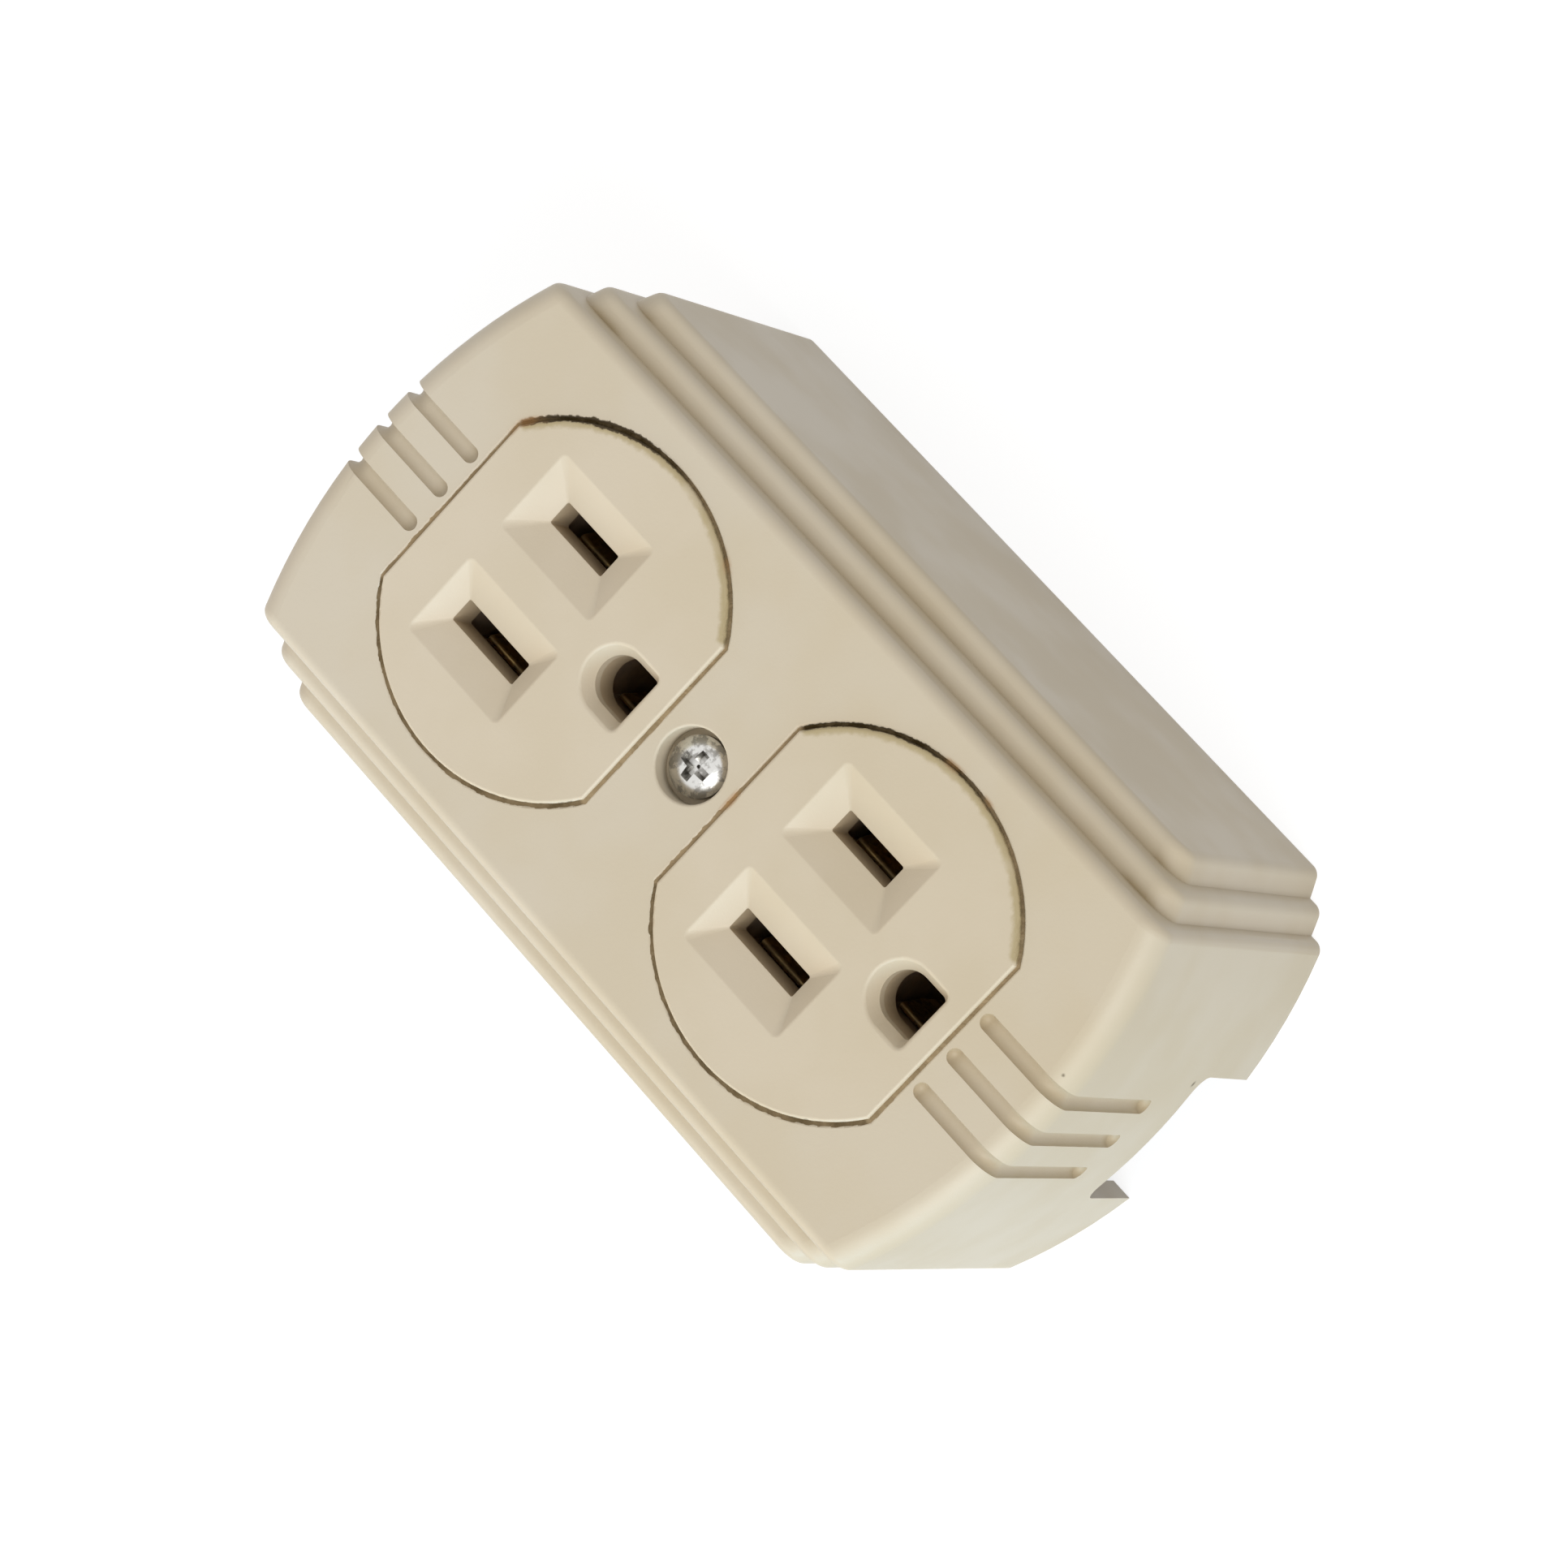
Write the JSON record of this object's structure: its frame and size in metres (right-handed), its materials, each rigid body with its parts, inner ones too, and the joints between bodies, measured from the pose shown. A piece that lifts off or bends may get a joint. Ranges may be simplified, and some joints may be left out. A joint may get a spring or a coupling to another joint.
{
  "type": "surface-mounted duplex socket",
  "caption": "Ivory surface-mounted power socket with twin grounded faces in a deep stepped cover, a cable notch in its lower end and a flat back that screws to a wall.",
  "frame": {"origin": "middle of the flat back that lies against the wall, under the cover screw", "axes": "+Z out of the front, away from the wall; +Y towards the upper end, so the cable notch is at -Y; +X to the right seen from the front"},
  "size_m": [0.0524, 0.0917, 0.0435],
  "materials": {
    "cover_plastic": "ivory moulded plastic, satin",
    "face_plastic": "ivory moulded plastic, slightly yellowed, satin",
    "base_plastic": "brown-black moulded plastic, plain",
    "plated_screw": "nickel-plated steel, bright",
    "plain_steel": "zinc-plated steel",
    "contact_brass": "stamped sheet brass",
    "brass_screw": "turned brass",
    "white_screw": "nickel-plated brass",
    "green_screw": "green-dyed plated steel"
  },
  "bodies": {
    "root": {"cover": "cover_plastic", "cover_screw": "plated_screw", "cover_nut": "plain_steel", "socket_face": "face_plastic", "contact_housing": "base_plastic", "base": "base_plastic", "line_contact": "contact_brass", "neutral_contact": "contact_brass", "earth_strap": "contact_brass", "earth_contact_upper": "contact_brass", "earth_contact_lower": "contact_brass", "earth_rivet_upper": "contact_brass", "earth_rivet_lower": "contact_brass", "assembly_screw_upper": "plain_steel", "assembly_screw_lower": "plain_steel", "line_terminal_screw_upper": "brass_screw", "line_terminal_screw_lower": "brass_screw", "neutral_terminal_screw_upper": "white_screw", "neutral_terminal_screw_lower": "white_screw", "earth_terminal_screw": "green_screw"}
  },
  "joints": []
}
